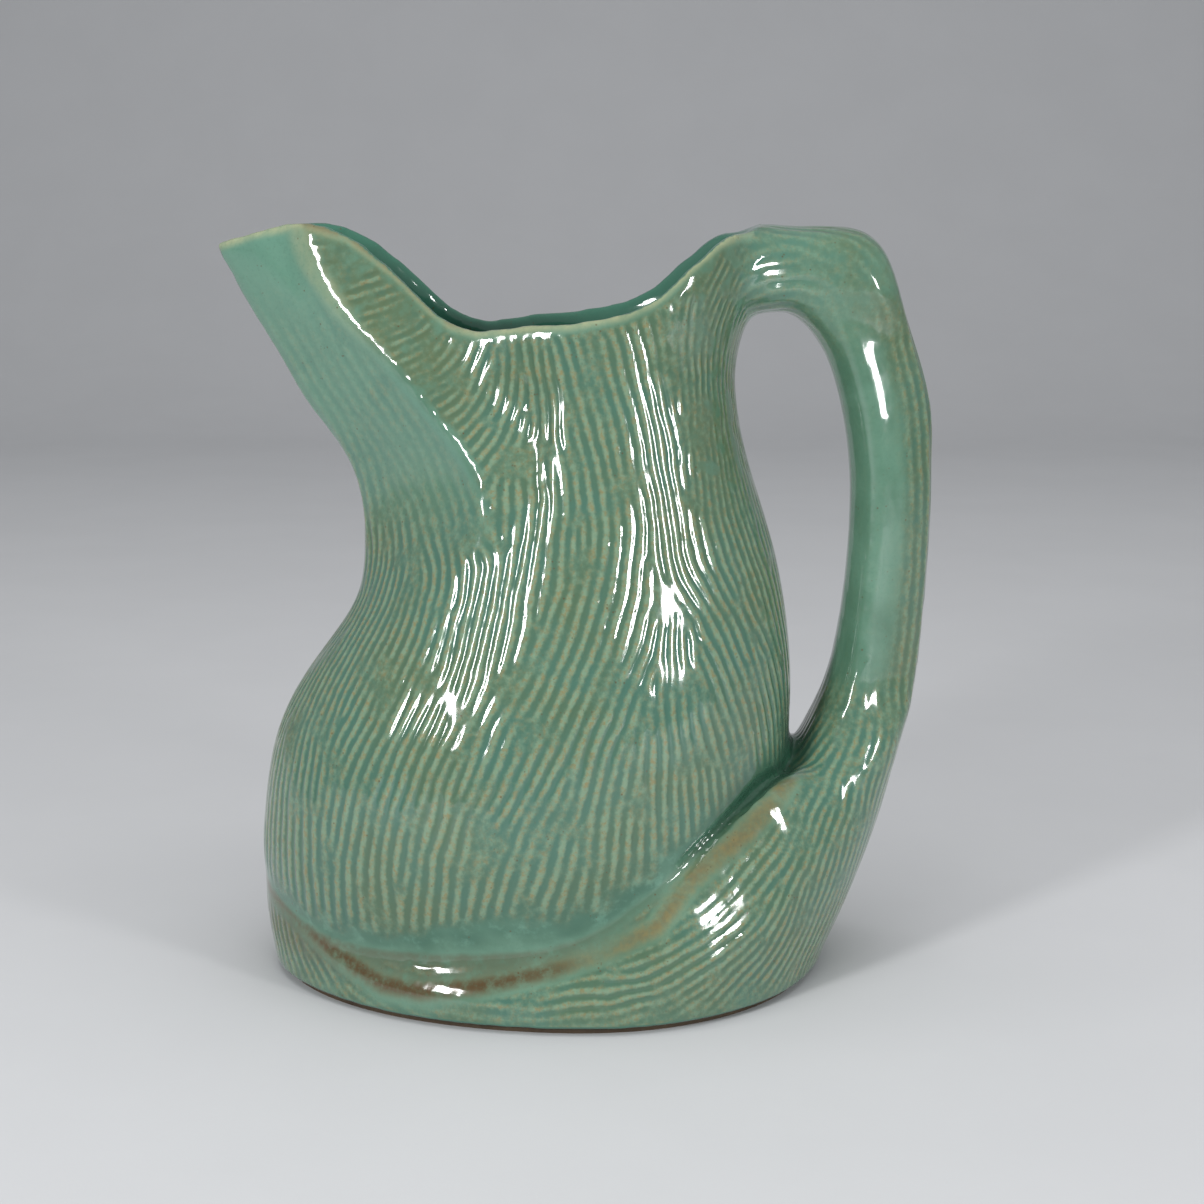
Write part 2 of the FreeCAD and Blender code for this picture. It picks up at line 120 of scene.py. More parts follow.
# The lip by place along the pitcher, the crest of the skirt, and the strap's two faces by height.
LIP_LINE = [
    (-127, 231.0), (-114, 235.0), (-100, 239.3), (-84.4, 242.0), (-70.8, 238.4), (-56.8, 228.0),
    (-45.9, 217.6), (-38.6, 212.0), (-30.0, 209.8), (-20.9, 211.0), (-1.8, 212.7), (14.3, 215.6),
    (21.8, 218.8), (27.7, 223.1), (33.1, 228.4), (37.7, 232.3), (43.4, 236.9), (50.0, 239.0), (72.6, 240.0),
]
CREST_LINE = [
    (-104.6, 0.0, 31.0), (-102.5, 14.5, 29.7), (-92.6, 30.0, 26.6), (-78.0, 45.0, 17.5),
    (-61.0, 57.0, 11.0), (-48.4, 63.0, 10.8), (-29.7, 67.0, 14.0), (-19.0, 68.0, 17.0), (-6.9, 67.0, 19.6),
    (8.1, 68.0, 26.0), (23.3, 66.0, 32.7), (34.1, 58.0, 44.4), (45.1, 50.0, 51.4), (53.2, 44.0, 56.6),
    (61.5, 36.0, 63.3), (66.6, 30.0, 69.7), (71.3, 22.0, 79.0), (76.0, 19.0, 90.0),
]
STRAP_INNER_LINE = [
    (60, 66), (72, 71), (80, 74.8), (90, 78.9), (100, 82), (120, 86.1), (140, 88.3), (160, 88.7), (180, 86.1),
    (200, 80.1), (208, 74.9), (214, 66), (242, 55),
]
STRAP_OUTER_LINE = [
    (60, 104), (83, 108), (102, 111), (132, 112.8), (161, 113.3), (189, 109.9), (215, 101.5), (237, 91.3),
    (242, 80),
]
# Where the skirt was pressed: its crest in and up towards the belly, and last the wall below it a little out.
# Places on it, and how far each one moved.
CREST_PRESS = [
    ((29.5, 66.5, 34.0), (-1.0, -1.5, 1.5)), ((37.0, 63.0, 39.5), (-1.5, -3.5, 3.0)),
    ((44.0, 59.0, 44.0), (-2.5, -5.5, 4.5)), ((50.0, 55.5, 48.0), (-3.0, -6.5, 5.5)),
    ((56.0, 51.5, 52.0), (-3.5, -7.0, 6.0)), ((63.0, 46.5, 55.5), (-5.0, -6.5, 6.5)),
    ((70.0, 41.0, 59.0), (-6.0, -5.5, 7.0)), ((77.0, 36.0, 62.5), (-5.0, -4.0, 6.0)),
    ((40.0, 64.0, 21.0), (0.6, 1.4, 0.0)), ((51.0, 58.0, 26.0), (0.8, 1.5, 0.0)),
    ((62.0, 51.0, 32.0), (0.9, 1.4, 0.0)),
]
PRESS_REACH = 8.0
# Where the clay was wiped smooth: round the back of the handle's root, and over the top of the bridge.
ROOT_WIPE = [
    (72.0, 28.0, 69.0), (80.0, 33.0, 65.0), (88.0, 28.0, 68.0), (96.0, 20.0, 71.0), (103.0, 9.0, 72.0),
    (104.0, 0.0, 72.0),
]
BRIDGE_WIPE = [
    (62.0, 0.0, 239.0), (62.0, 9.0, 237.0), (70.0, 9.0, 238.0), (70.0, 0.0, 239.5), (79.0, 0.0, 239.0),
    (79.0, 8.0, 238.0),
]
WIPE_REACH = (4.0, 14.0)
BRIDGE_WIPE_REACH = (2.0, 7.0)
WIPE_ROUNDS = 80
BRIDGE_WIPE_ROUNDS = 40
EDGE_ROUNDS = 10
BEAK_TIP = [(-113.0, 0.0, 235.0), (-113.0, 1.0, 235.0)]
# How much deeper the cleft between the belly and the handle's root was pressed.
CLEFT_DEPTH = 3.0 * MM
# The strap is thickest towards the gap, tapers to its back, and is rounded towards the gap.
STRAP_THICKEST = 0.28
STRAP_TAPER = (0.58, 0.08)
STRAP_ROUNDING = 0.38
# A pad of clay under the lip's back end, where the bridge begins: its middle, its half sizes, and how far in
# it goes.
BRIDGE_PAD = ((55.0, 0.0, 230.5), (16.0, 14.0, 9.6))
PAD_INNER_FACE = 53.5 * MM
# Clay added under the bridge and down the strap's inner face.
GAP_FILLING = 1.6 * MM
# Where the smoothed clay was drawn out again, how far, and how near and how far off this is felt: the beak's
# tip, the strap's upper back, and the lip's back end.
DRAWN_OUT = [
    (BEAK_TIP, (-1.5, 0.0, -0.2), (2.0, 11.0)),
    ([(93.0, 0.0, 231.0), (102.0, 0.0, 214.0), (107.0, 0.0, 201.0), (110.0, 0.0, 188.0)],
     (1.2, 0.0, 0.3), (4.0, 26.0)),
    ([(46.0, 19.0, 236.0), (52.0, 13.0, 238.5), (57.0, 4.0, 239.5)], (0.0, 0.0, 0.7), (2.0, 12.0)),
]
# How far the glaze laps down over the foot ring, and how far out it stands there.
FOOT_LAP = 1.0 * MM
FOOT_LAP_OUT = 0.3 * MM

# The comb: how far apart its guiding points lie, how far off a neighbour still counts, over what distance it
# counts less, how often they are brought in step, how much the strokes sway and their spacing varies, and
# how deep they are cut.
COMB_SPACING = 3.0 * MM
COMB_REACH = 8.5 * MM
COMB_NEAR = 3.5 * MM
COMB_ROUNDS = 24
COMB_SEED = 11
COMB_SWAY = 0.11
COMB_PITCH_SPREAD = 0.11
COMB_DEPTH = 0.33 * MM


def side_curve(table, height):
    """A value along the pitcher at a height, from a table in millimetres; both arrays are in metres."""
    places = np.array(table, float) * MM
    return np.interp(height, places[:, 0], places[:, 1])


def smooth_step(value, low, high):
    """0 below low, 1 above high, and an even curve between."""
    part = np.clip((value - low) / (high - low), 0.0, 1.0)
    return part * part * (3.0 - 2.0 * part)


def vertex_places(mesh):
    places = np.empty(len(mesh.vertices) * 3, np.float32)
    mesh.vertices.foreach_get("co", places)
    return places.reshape(-1, 3).astype(float)


def vertex_normals(mesh):
    normals = np.empty(len(mesh.vertices) * 3, np.float32)
    mesh.vertex_normals.foreach_get("vector", normals)
    return normals.reshape(-1, 3).astype(float)


def move_vertices(mesh, places):
    mesh.vertices.foreach_set("co", places.astype(np.float32).ravel())
    mesh.update()


class Neighbours:
    """The vertices that share an edge with each vertex, for averaging over the clay."""

    def __init__(self, mesh):
        edges = np.empty(len(mesh.edges) * 2, np.int32)
        mesh.edges.foreach_get("vertices", edges)
        edges = edges.reshape(-1, 2)
        both = np.concatenate([edges, edges[:, ::-1]])
        both = both[np.argsort(both[:, 0], kind="stable")]
        self.others = both[:, 1]
        self.counts = np.bincount(both[:, 0], minlength=len(mesh.vertices))
        self.starts = np.concatenate([[0], np.cumsum(self.counts)[:-1]])

    def average(self, values):
        sums = np.add.reduceat(values[self.others], self.starts, axis=0)
        return sums / self.counts.reshape((-1,) + (1,) * (values.ndim - 1))

    def relaxed(self, places, share, rounds):
        """The places after so many rounds of moving a share of the way to the neighbours' average."""
        share = np.broadcast_to(np.asarray(share, float).reshape(-1, 1), (len(places), 1))
        for _ in range(rounds):
            places = places + share * (self.average(places) - places)
        return places


def line_distance(places, line):
    """How far each place lies from a line that both sides of the pitcher have, in millimetres."""
    line = np.array(line, float)
    steps = np.linspace(0.0, len(line) - 1.0, 140)
    folded = np.abs(places / MM * np.array([0.0, 1.0, 0.0])) + places / MM * np.array([1.0, 0.0, 1.0])
    nearest = np.full(len(places), np.inf)
    for step in steps:
        point = np.array([np.interp(step, np.arange(len(line)), line[:, axis]) for axis in range(3)])
        nearest = np.minimum(nearest, ((folded - point) ** 2).sum(axis=1))
    return np.sqrt(nearest)


def lip_height(x):
    """The lip's height at a place along the pitcher, both in millimetres."""
    return np.interp(x, *np.array(LIP_LINE, float).T)


def beak_edge(x, z):
    """1 along the ridge between the beak's face and its cheek, fading to 0 beside it."""
    ridge = np.interp(z, *np.array(RIDGE_LINE, float).T)
    return (1.0 - smooth_step(np.abs(x - ridge), 1.5, 6.0)) * smooth_step(z, 156.0, 172.0)


def strap_back(x, z):
    """How far back in the strap a place is: 0 on its inner face and 1 on its outer face."""
    inner_z, inner_x = np.array(STRAP_INNER_LINE, float).T
    outer_z, outer_x = np.array(STRAP_OUTER_LINE, float).T
    inner, back = np.interp(z, inner_z, inner_x), np.interp(z, outer_z, outer_x)
    return np.clip((x - inner) / (back - inner), 0.0, 1.0)


def biggest_island(mesh):
    """Leave only the largest connected surface, without the sealed hollow inside the handle."""
    shape = bmesh.new()
    shape.from_mesh(mesh)
    unseen = set(shape.verts)
    islands = []
    while unseen:
        reached = [unseen.pop()]
        island = []
        while reached:
            vertex = reached.pop()
            island.append(vertex)
            for edge in vertex.link_edges:
                other = edge.other_vert(vertex)
                if other in unseen:
                    unseen.remove(other)
                    reached.append(other)
        islands.append(island)
    islands.sort(key=len)
    for island in islands[:-1]:
        bmesh.ops.delete(shape, geom=island, context="VERTS")
    shape.to_mesh(mesh)
    shape.free()


def remeshed_clay():
    """One even mesh of all the luted clay."""
    joined = bmesh.new()
    for node in CLAY_NODES:
        joined.from_mesh(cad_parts[node].data)
    middle, reach = (Vector(values) * MM for values in BRIDGE_PAD)
    pad = Matrix.Translation(middle) @ Matrix.Diagonal((*reach, 1.0))
    ball = bmesh.ops.create_uvsphere(joined, u_segments=32, v_segments=16, radius=1.0, matrix=pad)
    for vertex in ball["verts"]:
        vertex.co.x = max(vertex.co.x, PAD_INNER_FACE)
    rough = bpy.data.meshes.new("rough_clay")
    joined.to_mesh(rough)
    joined.free()
    lump = bpy.data.objects.new("rough_clay", rough)
    bpy.context.scene.collection.objects.link(lump)
    remesh = lump.modifiers.new("even", "REMESH")
    remesh.mode = "VOXEL"
    remesh.voxel_size = CLAY_GRAIN
    shown = lump.evaluated_get(bpy.context.evaluated_depsgraph_get())
    clay = bpy.data.meshes.new_from_object(shown)
    bpy.data.objects.remove(lump)
    bpy.data.meshes.remove(rough)
    biggest_island(clay)
    return clay


def node_distances(places):
    """How far each place lies from the body, the skirt, the handle and the floor."""
    groups = {"body": ("body_shell", "spout"), "skirt": ("base_skirt",), "handle": ("handle",),
              "floor": ("vessel_floor",)}
    distances = {}
    for group, nodes in groups.items():
        shape = bmesh.new()
        for node in nodes:
            shape.from_mesh(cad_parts[node].data)
        tree = BVHTree.FromBMesh(shape)
        distances[group] = np.array([tree.find_nearest(Vector(place))[3] for place in places])
        shape.free()
    return distances


def pressed(places, share):
    """The places with the skirt's crest pressed in towards the belly, on both sides."""
    side = np.where(places[:, 1:2] < 0.0, -1.0, 1.0)
    total, moved, most = np.zeros(len(places)), np.zeros_like(places), np.zeros(len(places))
    for corner, way in CREST_PRESS:
        mirror = np.concatenate([np.ones_like(side), side, np.ones_like(side)], axis=1)
        gap = places / MM - np.array(corner) * mirror
        weight = np.exp(-(gap ** 2).sum(axis=1) / (2.0 * PRESS_REACH ** 2))
        moved += weight[:, None] * np.array(way) * mirror
        total += weight
        most = np.maximum(most, weight)
    return places + moved / (total + 1e-9)[:, None] * (most * share)[:, None] * MM


def soften_seams(mesh, distances):
    """Run the luted seams together as wet clay is wiped, round the edges, and shape the strap and foot."""
    places = vertex_places(mesh)
    around = Neighbours(mesh)
    body, skirt, handle = distances["body"], distances["skirt"], distances["handle"]
    places = pressed(places, smooth_step(body, 1.0 * MM, 6.0 * MM))
    places = around.relaxed(places, 0.5, SMOOTHING_ROUNDS)
    bridge = 1.0 - smooth_step(body + handle, 2.0 * MM, 9.0 * MM)
    root = (1.0 - smooth_step(skirt + handle, 3.0 * MM, 14.0 * MM)) * smooth_step(body, 3.0 * MM, 8.0 * MM)
    groove = 0.8 * (1.0 - smooth_step(body + skirt, 1.0 * MM, 4.0 * MM))
    places = around.relaxed(places, 0.55 * np.maximum(np.maximum(bridge, root), groove), SEAM_ROUNDS)
    on_swirl = np.minimum(skirt, handle) < body
    wiped = 1.0 - smooth_step(line_distance(places, ROOT_WIPE), *WIPE_REACH)
    places = around.relaxed(places, 0.5 * wiped, WIPE_ROUNDS)
    wiped = 1.0 - smooth_step(line_distance(places, BRIDGE_WIPE), *BRIDGE_WIPE_REACH)
    places = around.relaxed(places, 0.5 * wiped, BRIDGE_WIPE_ROUNDS)
    x, z = places[:, 0] / MM, places[:, 2] / MM
    edges = np.maximum(1.0 - smooth_step(lip_height(x) - z, 4.0, 9.0), beak_edge(x, z))
    edges = np.maximum(edges, 1.0 - smooth_step(line_distance(places, BEAK_TIP), 3.0, 9.0))
    places = around.relaxed(places, 0.5 * edges, EDGE_ROUNDS)
    move_vertices(mesh, places)
    normals = vertex_normals(mesh)
    cleft = (1.0 - smooth_step(body + skirt, 0.5 * MM, 5.0 * MM)) * smooth_step(x, 24.0, 40.0)
    places = places - normals * (CLEFT_DEPTH * cleft)[:, None]
    strap = on_swirl * smooth_step(z, 74.0, 100.0) * (1.0 - smooth_step(z, 200.0, 222.0))
    back = strap_back(x, z)
    taper = np.clip((back - STRAP_THICKEST) / (1.0 - STRAP_THICKEST), 0.0, 1.0)
    rounding = np.clip((STRAP_THICKEST - back) / STRAP_THICKEST, 0.0, 1.0) ** 2
    narrowing = STRAP_TAPER[0] * taper + STRAP_TAPER[1] * taper ** 2
    places[:, 1] *= 1.0 - strap * (narrowing + STRAP_ROUNDING * rounding)
    gap_side = smooth_step(body - handle, 0.0, 8.0 * MM) * smooth_step(z, 84.0, 110.0)
    gap_side *= 1.0 - smooth_step(back, 0.1, 0.5)
    faces_gap = smooth_step(-np.minimum(normals[:, 0], normals[:, 2]), 0.1, 0.6)
    gap_side *= faces_gap * (1.0 - smooth_step(normals[:, 2], 0.0, 0.3))
    places = places + normals * (GAP_FILLING * gap_side)[:, None]
    for line, way, reach in DRAWN_OUT:
        share = 1.0 - smooth_step(line_distance(places, line), *reach)
        places = places + share[:, None] * np.array(way) * MM
    lap = (1.0 - smooth_step(z, 3.0, 9.0)) * on_swirl
    around_foot = unit(normals * np.array([1.0, 1.0, 0.0]))
    places = places + lap[:, None] * (around_foot * FOOT_LAP_OUT - np.array([0.0, 0.0, FOOT_LAP]))
    move_vertices(mesh, around.relaxed(places, 0.5, 2))


def outer_mask(mesh, distances):
    """1 on the glazed outside, 0 inside the vessel and underneath."""
    places, normals = vertex_places(mesh), vertex_normals(mesh)
    middle = np.stack([side_curve(MIDDLE_LINE, places[:, 2]), np.zeros(len(places))], axis=1)
    outward = ((places[:, :2] - middle) * normals[:, :2]).sum(axis=1)
    on_body = (distances["body"] < distances["handle"]) & (distances["body"] < distances["skirt"])
    inside = on_body & (outward < 0.0)
    inside |= distances["floor"] < 0.8 * MM
    under = (places[:, 2] < 3.5 * MM) & (normals[:, 2] < -0.5)
    return ~(inside | under)


def refined(mesh, outer):
    """The clay with every outer face parted in four."""
    shape = bmesh.new()
    shape.from_mesh(mesh)
    shape.verts.ensure_lookup_table()
    edges = [edge for edge in shape.edges if outer[edge.verts[0].index] or outer[edge.verts[1].index]]
    bmesh.ops.subdivide_edges(shape, edges=edges, cuts=1, use_grid_fill=True)
    fine = bpy.data.meshes.new("fine_clay")
    shape.to_mesh(fine)
    shape.free()
    return fine


def ridge_side(x, z):
    """-1 on the beak's face, 1 behind its ridge, and 0 further down where the ridge has faded."""
    table = np.array(RIDGE_LINE, float)
    ridge = np.interp(z, table[:, 0], table[:, 1])
    return np.clip((x - ridge) / RIDGE_HALF_WIDTH, -1.0, 1.0) * smooth_step(z, 128.0, 158.0)


def stroke_ways(places, strokes):
    """The way the strokes run at each place, seen from the side, blended from the strokes near it."""
    x, z = places[:, 0] / MM, places[:, 2] / MM
    side = ridge_side(x, z)
    along, up = np.zeros(len(places)), np.zeros(len(places))
    for stroke_x, stroke_z, angle in strokes:
        apart = (x - stroke_x) ** 2 + (z - stroke_z) ** 2
        apart += (RIDGE_PULL * (side - ridge_side(stroke_x, stroke_z))) ** 2
        weight = (apart + STROKE_REACH ** 2) ** -2.0
        along += weight * math.cos(math.radians(angle))
        up += weight * math.sin(math.radians(angle))
    return np.stack([along, np.zeros(len(places)), up], axis=1)


def unit(vectors):
    return vectors / (np.linalg.norm(vectors, axis=1, keepdims=True) + 1e-12)


def across_strokes(places, normals, on_swirl):
    """The way across the strokes at each place, in the clay's surface."""
    on_body = stroke_ways(places, FACE_STROKES + CHEEK_STROKES + NECK_STROKES + BELLY_STROKES)
    ways = np.where(on_swirl[:, None], stroke_ways(places, SWIRL_STROKES), on_body)
    ways = unit(ways) + 0.02 * np.array([0.0, 0.0, 1.0])
    ways = ways - normals * (ways * normals).sum(axis=1, keepdims=True)
    return unit(np.cross(normals, ways))


def uneven(places, grain):
    """Soft random values from about -1 to 1 with bumps of a size in millimetres."""
    scaled = places / (grain * MM)
    return np.array([noise.noise(Vector(place)) for place in scaled])


class Zones:
    """Where each kind of surface lies on the pitcher: masks from 0 to 1, one value for each vertex."""

    def __init__(self, places, body, skirt, handle, outer):
        x, z = places[:, 0] / MM, places[:, 2] / MM
        body, skirt, handle = body / MM, skirt / MM, handle / MM
        self.height, self.outer = z, outer
        self.on_swirl = np.minimum(skirt, handle) < body
        side = ridge_side(x, z)
        behind = smooth_step(side, 0.1, 0.9) * smooth_step(z, 158.0, 186.0)
        self.face = smooth_step(-side, 0.0, 0.8) * smooth_step(z, 132.0, 160.0)
        self.cheek = behind * (1.0 - smooth_step(x, -44.0, -26.0))
        self.beak_edge = beak_edge(x, z)
        self.rear_neck = smooth_step(x, 20.0, 42.0) * smooth_step(z, 138.0, 170.0)
        self.below_lip = np.where(x < 54.0, lip_height(x) - z, 40.0)
        self.crest = line_distance(places, CREST_LINE)
        self.strap_back = strap_back(x, z)
        self.strap = smooth_step(z, 70.0, 104.0)
        self.bridge = smooth_step(z, 188.0, 222.0) * (1.0 - smooth_step(x, 74.0, 100.0))
        self.shoulder = smooth_step(z, 208.0, 222.0) * smooth_step(x, 70.0, 84.0)
        self.root_shoulder = smooth_step(z, 16.0, 34.0) * (1.0 - smooth_step(z, 74.0, 90.0))
        self.root_shoulder *= smooth_step(x, 20.0, 40.0)
        middle = np.exp(-((x + 22.0) / 34.0) ** 2)
        self.band = np.maximum(2.5 + 7.0 * middle + 5.0 * uneven(places, 8.0), 2.0)
        self.body_near = body
        self.broken = np.clip(0.7 + 1.4 * uneven(places, 5.0), 0.1, 1.2)
        self.groove = skirt
        self.front = 1.0 - smooth_step(x, -20.0, 20.0)
        apart = body - np.minimum(skirt, handle)
        high = smooth_step(z, 195.0, 225.0)
        self.luted = np.maximum(smooth_step(np.abs(apart), 0.5, 4.0), high)
        self.swirl = smooth_step(apart / (2.5 + 7.0 * high), -1.0, 1.0)
        self.own_comb = self.on_swirl * (1.0 - high)
        # The cleft between the belly and the handle's root, where the painted shade goes.
        self.cleft = (1.0 - smooth_step(np.minimum(skirt, handle), 2.0, 15.0)) * smooth_step(x, 30.0, 54.0)
        self.cleft *= 1.0 - smooth_step(z, 88.0, 122.0)

    def blend(self, body, swirl):
        """A value of the body's and a value of the swirl's, run together where they are luted."""
        return (body * (1.0 - self.swirl) + swirl * self.swirl) * self.outer

    def comb_share(self):
        """How deep the comb went, from 0 on smooth clay to 1 on the belly."""
        rough = np.maximum(self.cheek, self.rear_neck)
        body = (1.0 - 0.5 * self.face) * (1.0 - rough + rough * self.broken)
        body *= 1.0 - 0.8 * self.face * smooth_step(self.height, 196.0, 232.0)
        body *= smooth_step(self.below_lip, 2.5, 7.0) * (1.0 - self.beak_edge)
        body *= smooth_step(self.groove, self.band, self.band + 9.0)
        skirt = smooth_step(self.crest, 3.0, 8.0) * (0.35 + 0.65 * smooth_step(self.height, 4.0, 12.0))
        strap = 0.10 + 0.5 * smooth_step(self.strap_back, 0.5, 0.85) + 0.35 * self.bridge
        strap *= 1.0 - 0.8 * self.shoulder * (1.0 - self.bridge)
        swirl = skirt * (1.0 - self.strap) + strap * self.strap
        return np.where(self.on_swirl, swirl * self.luted, body) * self.outer

    def comb_depth(self):
        """How much of the comb's depth is left under the glaze, which fills it beside the handle's root."""
        return 1.0 - 0.6 * self.root_shoulder

    def comb_pitch(self):
        """The distance from one ridge to the next."""
        body = 3.9 - 0.4 * smooth_step(self.height, 100.0, 190.0)
        body = body + 0.5 * (1.0 - smooth_step(self.height, 40.0, 80.0))
        body = body * (1.0 - 0.20 * self.rear_neck) * (1.0 - 0.12 * self.cheek)
        body = body + 1.5 * self.face
        swirl = 3.5 + 0.6 * self.strap
        return np.where(self.on_swirl, swirl, body) * MM

    def thin_glaze(self):
        """Where the glaze ran thin and shows tan: the lip and the beak's edge."""
        lip = 0.85 * (1.0 - smooth_step(self.below_lip, 1.2, 4.2))
        return self.blend(np.maximum(lip, 0.5 * self.beak_edge * smooth_step(self.height, 190.0, 225.0)), 0.0)

    def worn_crest(self):
        """Where the glaze ran thin and ochre: along the crest of the skirt."""
        crest = 0.85 * (1.0 - smooth_step(self.crest, 0.3, 5.5)) * (1.0 - 0.6 * self.front)
        return self.blend(0.0, crest * (1.0 - 0.85 * smooth_step(self.height, 66.0, 96.0)))

    def brown_glaze(self):
        """Where the glaze broke brown in and along the groove above the skirt's crest."""
        rim = 0.55 * (1.0 - smooth_step(self.below_lip, 0.8, 3.0)) * self.cheek
        near = np.maximum(0.6 * (1.0 - smooth_step(self.groove, 0.5, 3.0)) * (0.45 + 0.55 * self.front), rim)
        crest = 1.0 - smooth_step(self.crest, 0.5, 4.8)
        slope = 0.45 * (1.0 - smooth_step(self.body_near, 4.0, 9.0))
        swirl = np.maximum(crest, slope) * (1.0 - self.strap) * (0.45 + 0.55 * self.front)
        return self.blend(near, swirl)

    def pooled_glaze(self):
        """Where the glaze pooled thick and turquoise: in the band above the groove."""
        above = 1.0 - smooth_step(self.groove, self.band + 1.0, self.band + 10.0)
        return self.blend(0.7 * above * smooth_step(self.groove, 1.0, self.band), 0.0)

    def bright_glaze(self):
        """Where the glaze shows palest and bluest: the beak's face, and the top of the bridge."""
        return self.blend(0.65 * self.face * smooth_step(self.height, 126.0, 182.0), 0.45 * self.bridge)

    def olive_glaze_and_strap_shade(self):
        """Where the glaze lies olive: the cheeks behind the beak's edge, and the back of the neck. On the
        strap's back it is partly painted shade, darker where the strap turns away from the light.
        """
        body = np.maximum(self.cheek, 0.75 * self.rear_neck)
        # Partly painted shade: the olive on the strap's back also darkens it where it turns away from the
        # light.
        swirl = 0.3 * self.bridge + 0.6 * smooth_step(self.strap_back, 0.35, 0.8) * self.strap
        return self.blend(body, swirl)

    def painted_cleft_shade(self):
        """Painted shade: darker green in the cleft between the belly and the handle's root, where shadow
        falls.
        """
        return self.blend(self.cleft, 0.8 * self.cleft * (1.0 - smooth_step(self.body_near, 3.0, 8.0)))


def comb_guides(places, normals, zones):
    """Guiding points over the outside, each with the comb's phase there, in step with its neighbours."""
    random = np.random.default_rng(COMB_SEED)
    order = random.permutation(np.nonzero(zones.outer > 0.5)[0])
    cells = np.floor(places[order] / COMB_SPACING).astype(int)
    _, first = np.unique(cells, axis=0, return_index=True)
    chosen = order[np.sort(first)]
    points, facing, own_comb = places[chosen], normals[chosen], zones.own_comb[chosen]
    across = across_strokes(points, facing, zones.on_swirl[chosen])
    across = unit(across + COMB_SWAY * random.standard_normal((len(chosen), 1)) * np.cross(facing, across))
    spread = np.clip(1.0 + COMB_PITCH_SPREAD * random.standard_normal(len(chosen)), 0.6, 1.5)
    pitch = zones.comb_pitch()[chosen] * spread
    wave = across * (2.0 * math.pi / pitch)[:, None]
    tree = KDTree(len(points))
    for index, point in enumerate(points):
        tree.insert(point, index)
    tree.balance()
    pairs = [(index, other) for index, point in enumerate(points)
             for _, other, _ in tree.find_range(point, COMB_REACH) if other != index]
    here, there = np.array(pairs).T
    gap = points[here] - points[there]
    agree = np.clip((facing[here] * facing[there]).sum(axis=1), 0.0, 1.0) ** 2
    agree *= np.clip((across[here] * across[there]).sum(axis=1), 0.0, 1.0) ** 2
    agree *= np.clip(1.0 - 2.0 * np.abs(own_comb[here] - own_comb[there]), 0.0, 1.0)
    weight = agree * np.exp(-(gap ** 2).sum(axis=1) / (2.0 * COMB_NEAR ** 2))
    turn = 0.5 * ((wave[here] + wave[there]) * gap).sum(axis=1)
    step = weight * np.exp(1j * turn)
    phase = random.uniform(0.0, 2.0 * math.pi, len(points))
    for _ in range(COMB_ROUNDS):
        pull = step * np.exp(1j * phase[there])
        total = np.bincount(here, pull.real, len(points)) + 1j * np.bincount(here, pull.imag, len(points))
        phase = np.angle(total + 0.05 * np.exp(1j * phase))
    vigour = np.clip(0.8 + 1.1 * uneven(points, 11.0) + 0.3 * random.standard_normal(len(points)), 0.1, 1.2)
    return {"points": points, "facing": facing, "across": across, "wave": wave, "phase": phase,
            "own_comb": own_comb, "vigour": vigour}


def comb_pattern(places, normals, zones, guides):
    """The comb's ridges (1) and furrows (0) at each vertex, and how clearly they are cut there."""
    reach = 3.0 * COMB_NEAR
    cells = np.floor(places / reach).astype(np.int64)
    low = cells.min(axis=0) - 1
    cells -= low
    size = cells.max(axis=0) + 2
    flat = (cells[:, 0] * size[1] + cells[:, 1]) * size[2] + cells[:, 2]
    order = np.argsort(flat, kind="stable")
    flat = flat[order]
    total = np.zeros(len(places), complex)
    weights = np.zeros(len(places))
    sorted_places, sorted_normals = places[order], normals[order]
    sorted_comb = zones.own_comb[order]
    for index, point in enumerate(guides["points"]):
        cell = np.floor(point / reach).astype(np.int64) - low
        spans = []
        for i in (-1, 0, 1):
            for j in (-1, 0, 1):
                base = ((cell[0] + i) * size[1] + cell[1] + j) * size[2] + cell[2]
                start, stop = np.searchsorted(flat, (base - 1, base + 2))
                spans.append(np.arange(start, stop))
        near = np.concatenate(spans)
        gap = sorted_places[near] - point
        apart = (gap ** 2).sum(axis=1)
        sideways = gap @ guides["across"][index]
        fits = apart < reach ** 2
        near, gap, apart, sideways = near[fits], gap[fits], apart[fits], sideways[fits]
        agree = np.clip(sorted_normals[near] @ guides["facing"][index], 0.0, 1.0) ** 2
        agree *= np.clip(1.0 - 2.0 * np.abs(sorted_comb[near] - guides["own_comb"][index]), 0.0, 1.0)
        weight = agree * np.exp(-(apart + 1.4 * sideways ** 2) / (2.0 * COMB_NEAR ** 2))
        turn = guides["phase"][index] + gap @ guides["wave"][index]
        total[near] += weight * guides["vigour"][index] * np.exp(1j * turn)
        weights[near] += weight
    strength = np.abs(total) / (weights + 1e-9)
    ridge, clear = np.empty(len(places)), np.empty(len(places))
    ridge[order] = 0.5 + 0.5 * np.cos(np.angle(total))
    clear[order] = smooth_step(strength, 0.10, 0.75)
    return ridge, clear


def with_values(mesh, name, values):
    """Store one value for each vertex, so that it survives refining and parting."""
    kind = "FLOAT_VECTOR" if values.ndim == 2 else "FLOAT"
    layer = mesh.attributes.new(name, kind, "POINT")
    layer.data.foreach_set("vector" if values.ndim == 2 else "value", values.astype(np.float32).ravel())


def values_of(mesh, name):
    layer = mesh.attributes[name]
    wide = layer.data_type == "FLOAT_VECTOR"
    values = np.empty(len(mesh.vertices) * (3 if wide else 1), np.float32)
    layer.data.foreach_get("vector" if wide else "value", values)
    return values.reshape(-1, 3) if wide else values.astype(float)


# The zones of the glaze, each a method of Zones and then a value on the vertices.
GLAZE_ZONES = ("thin_glaze", "worn_crest", "brown_glaze", "pooled_glaze", "bright_glaze", "olive_glaze_and_strap_shade",
               "painted_cleft_shade")


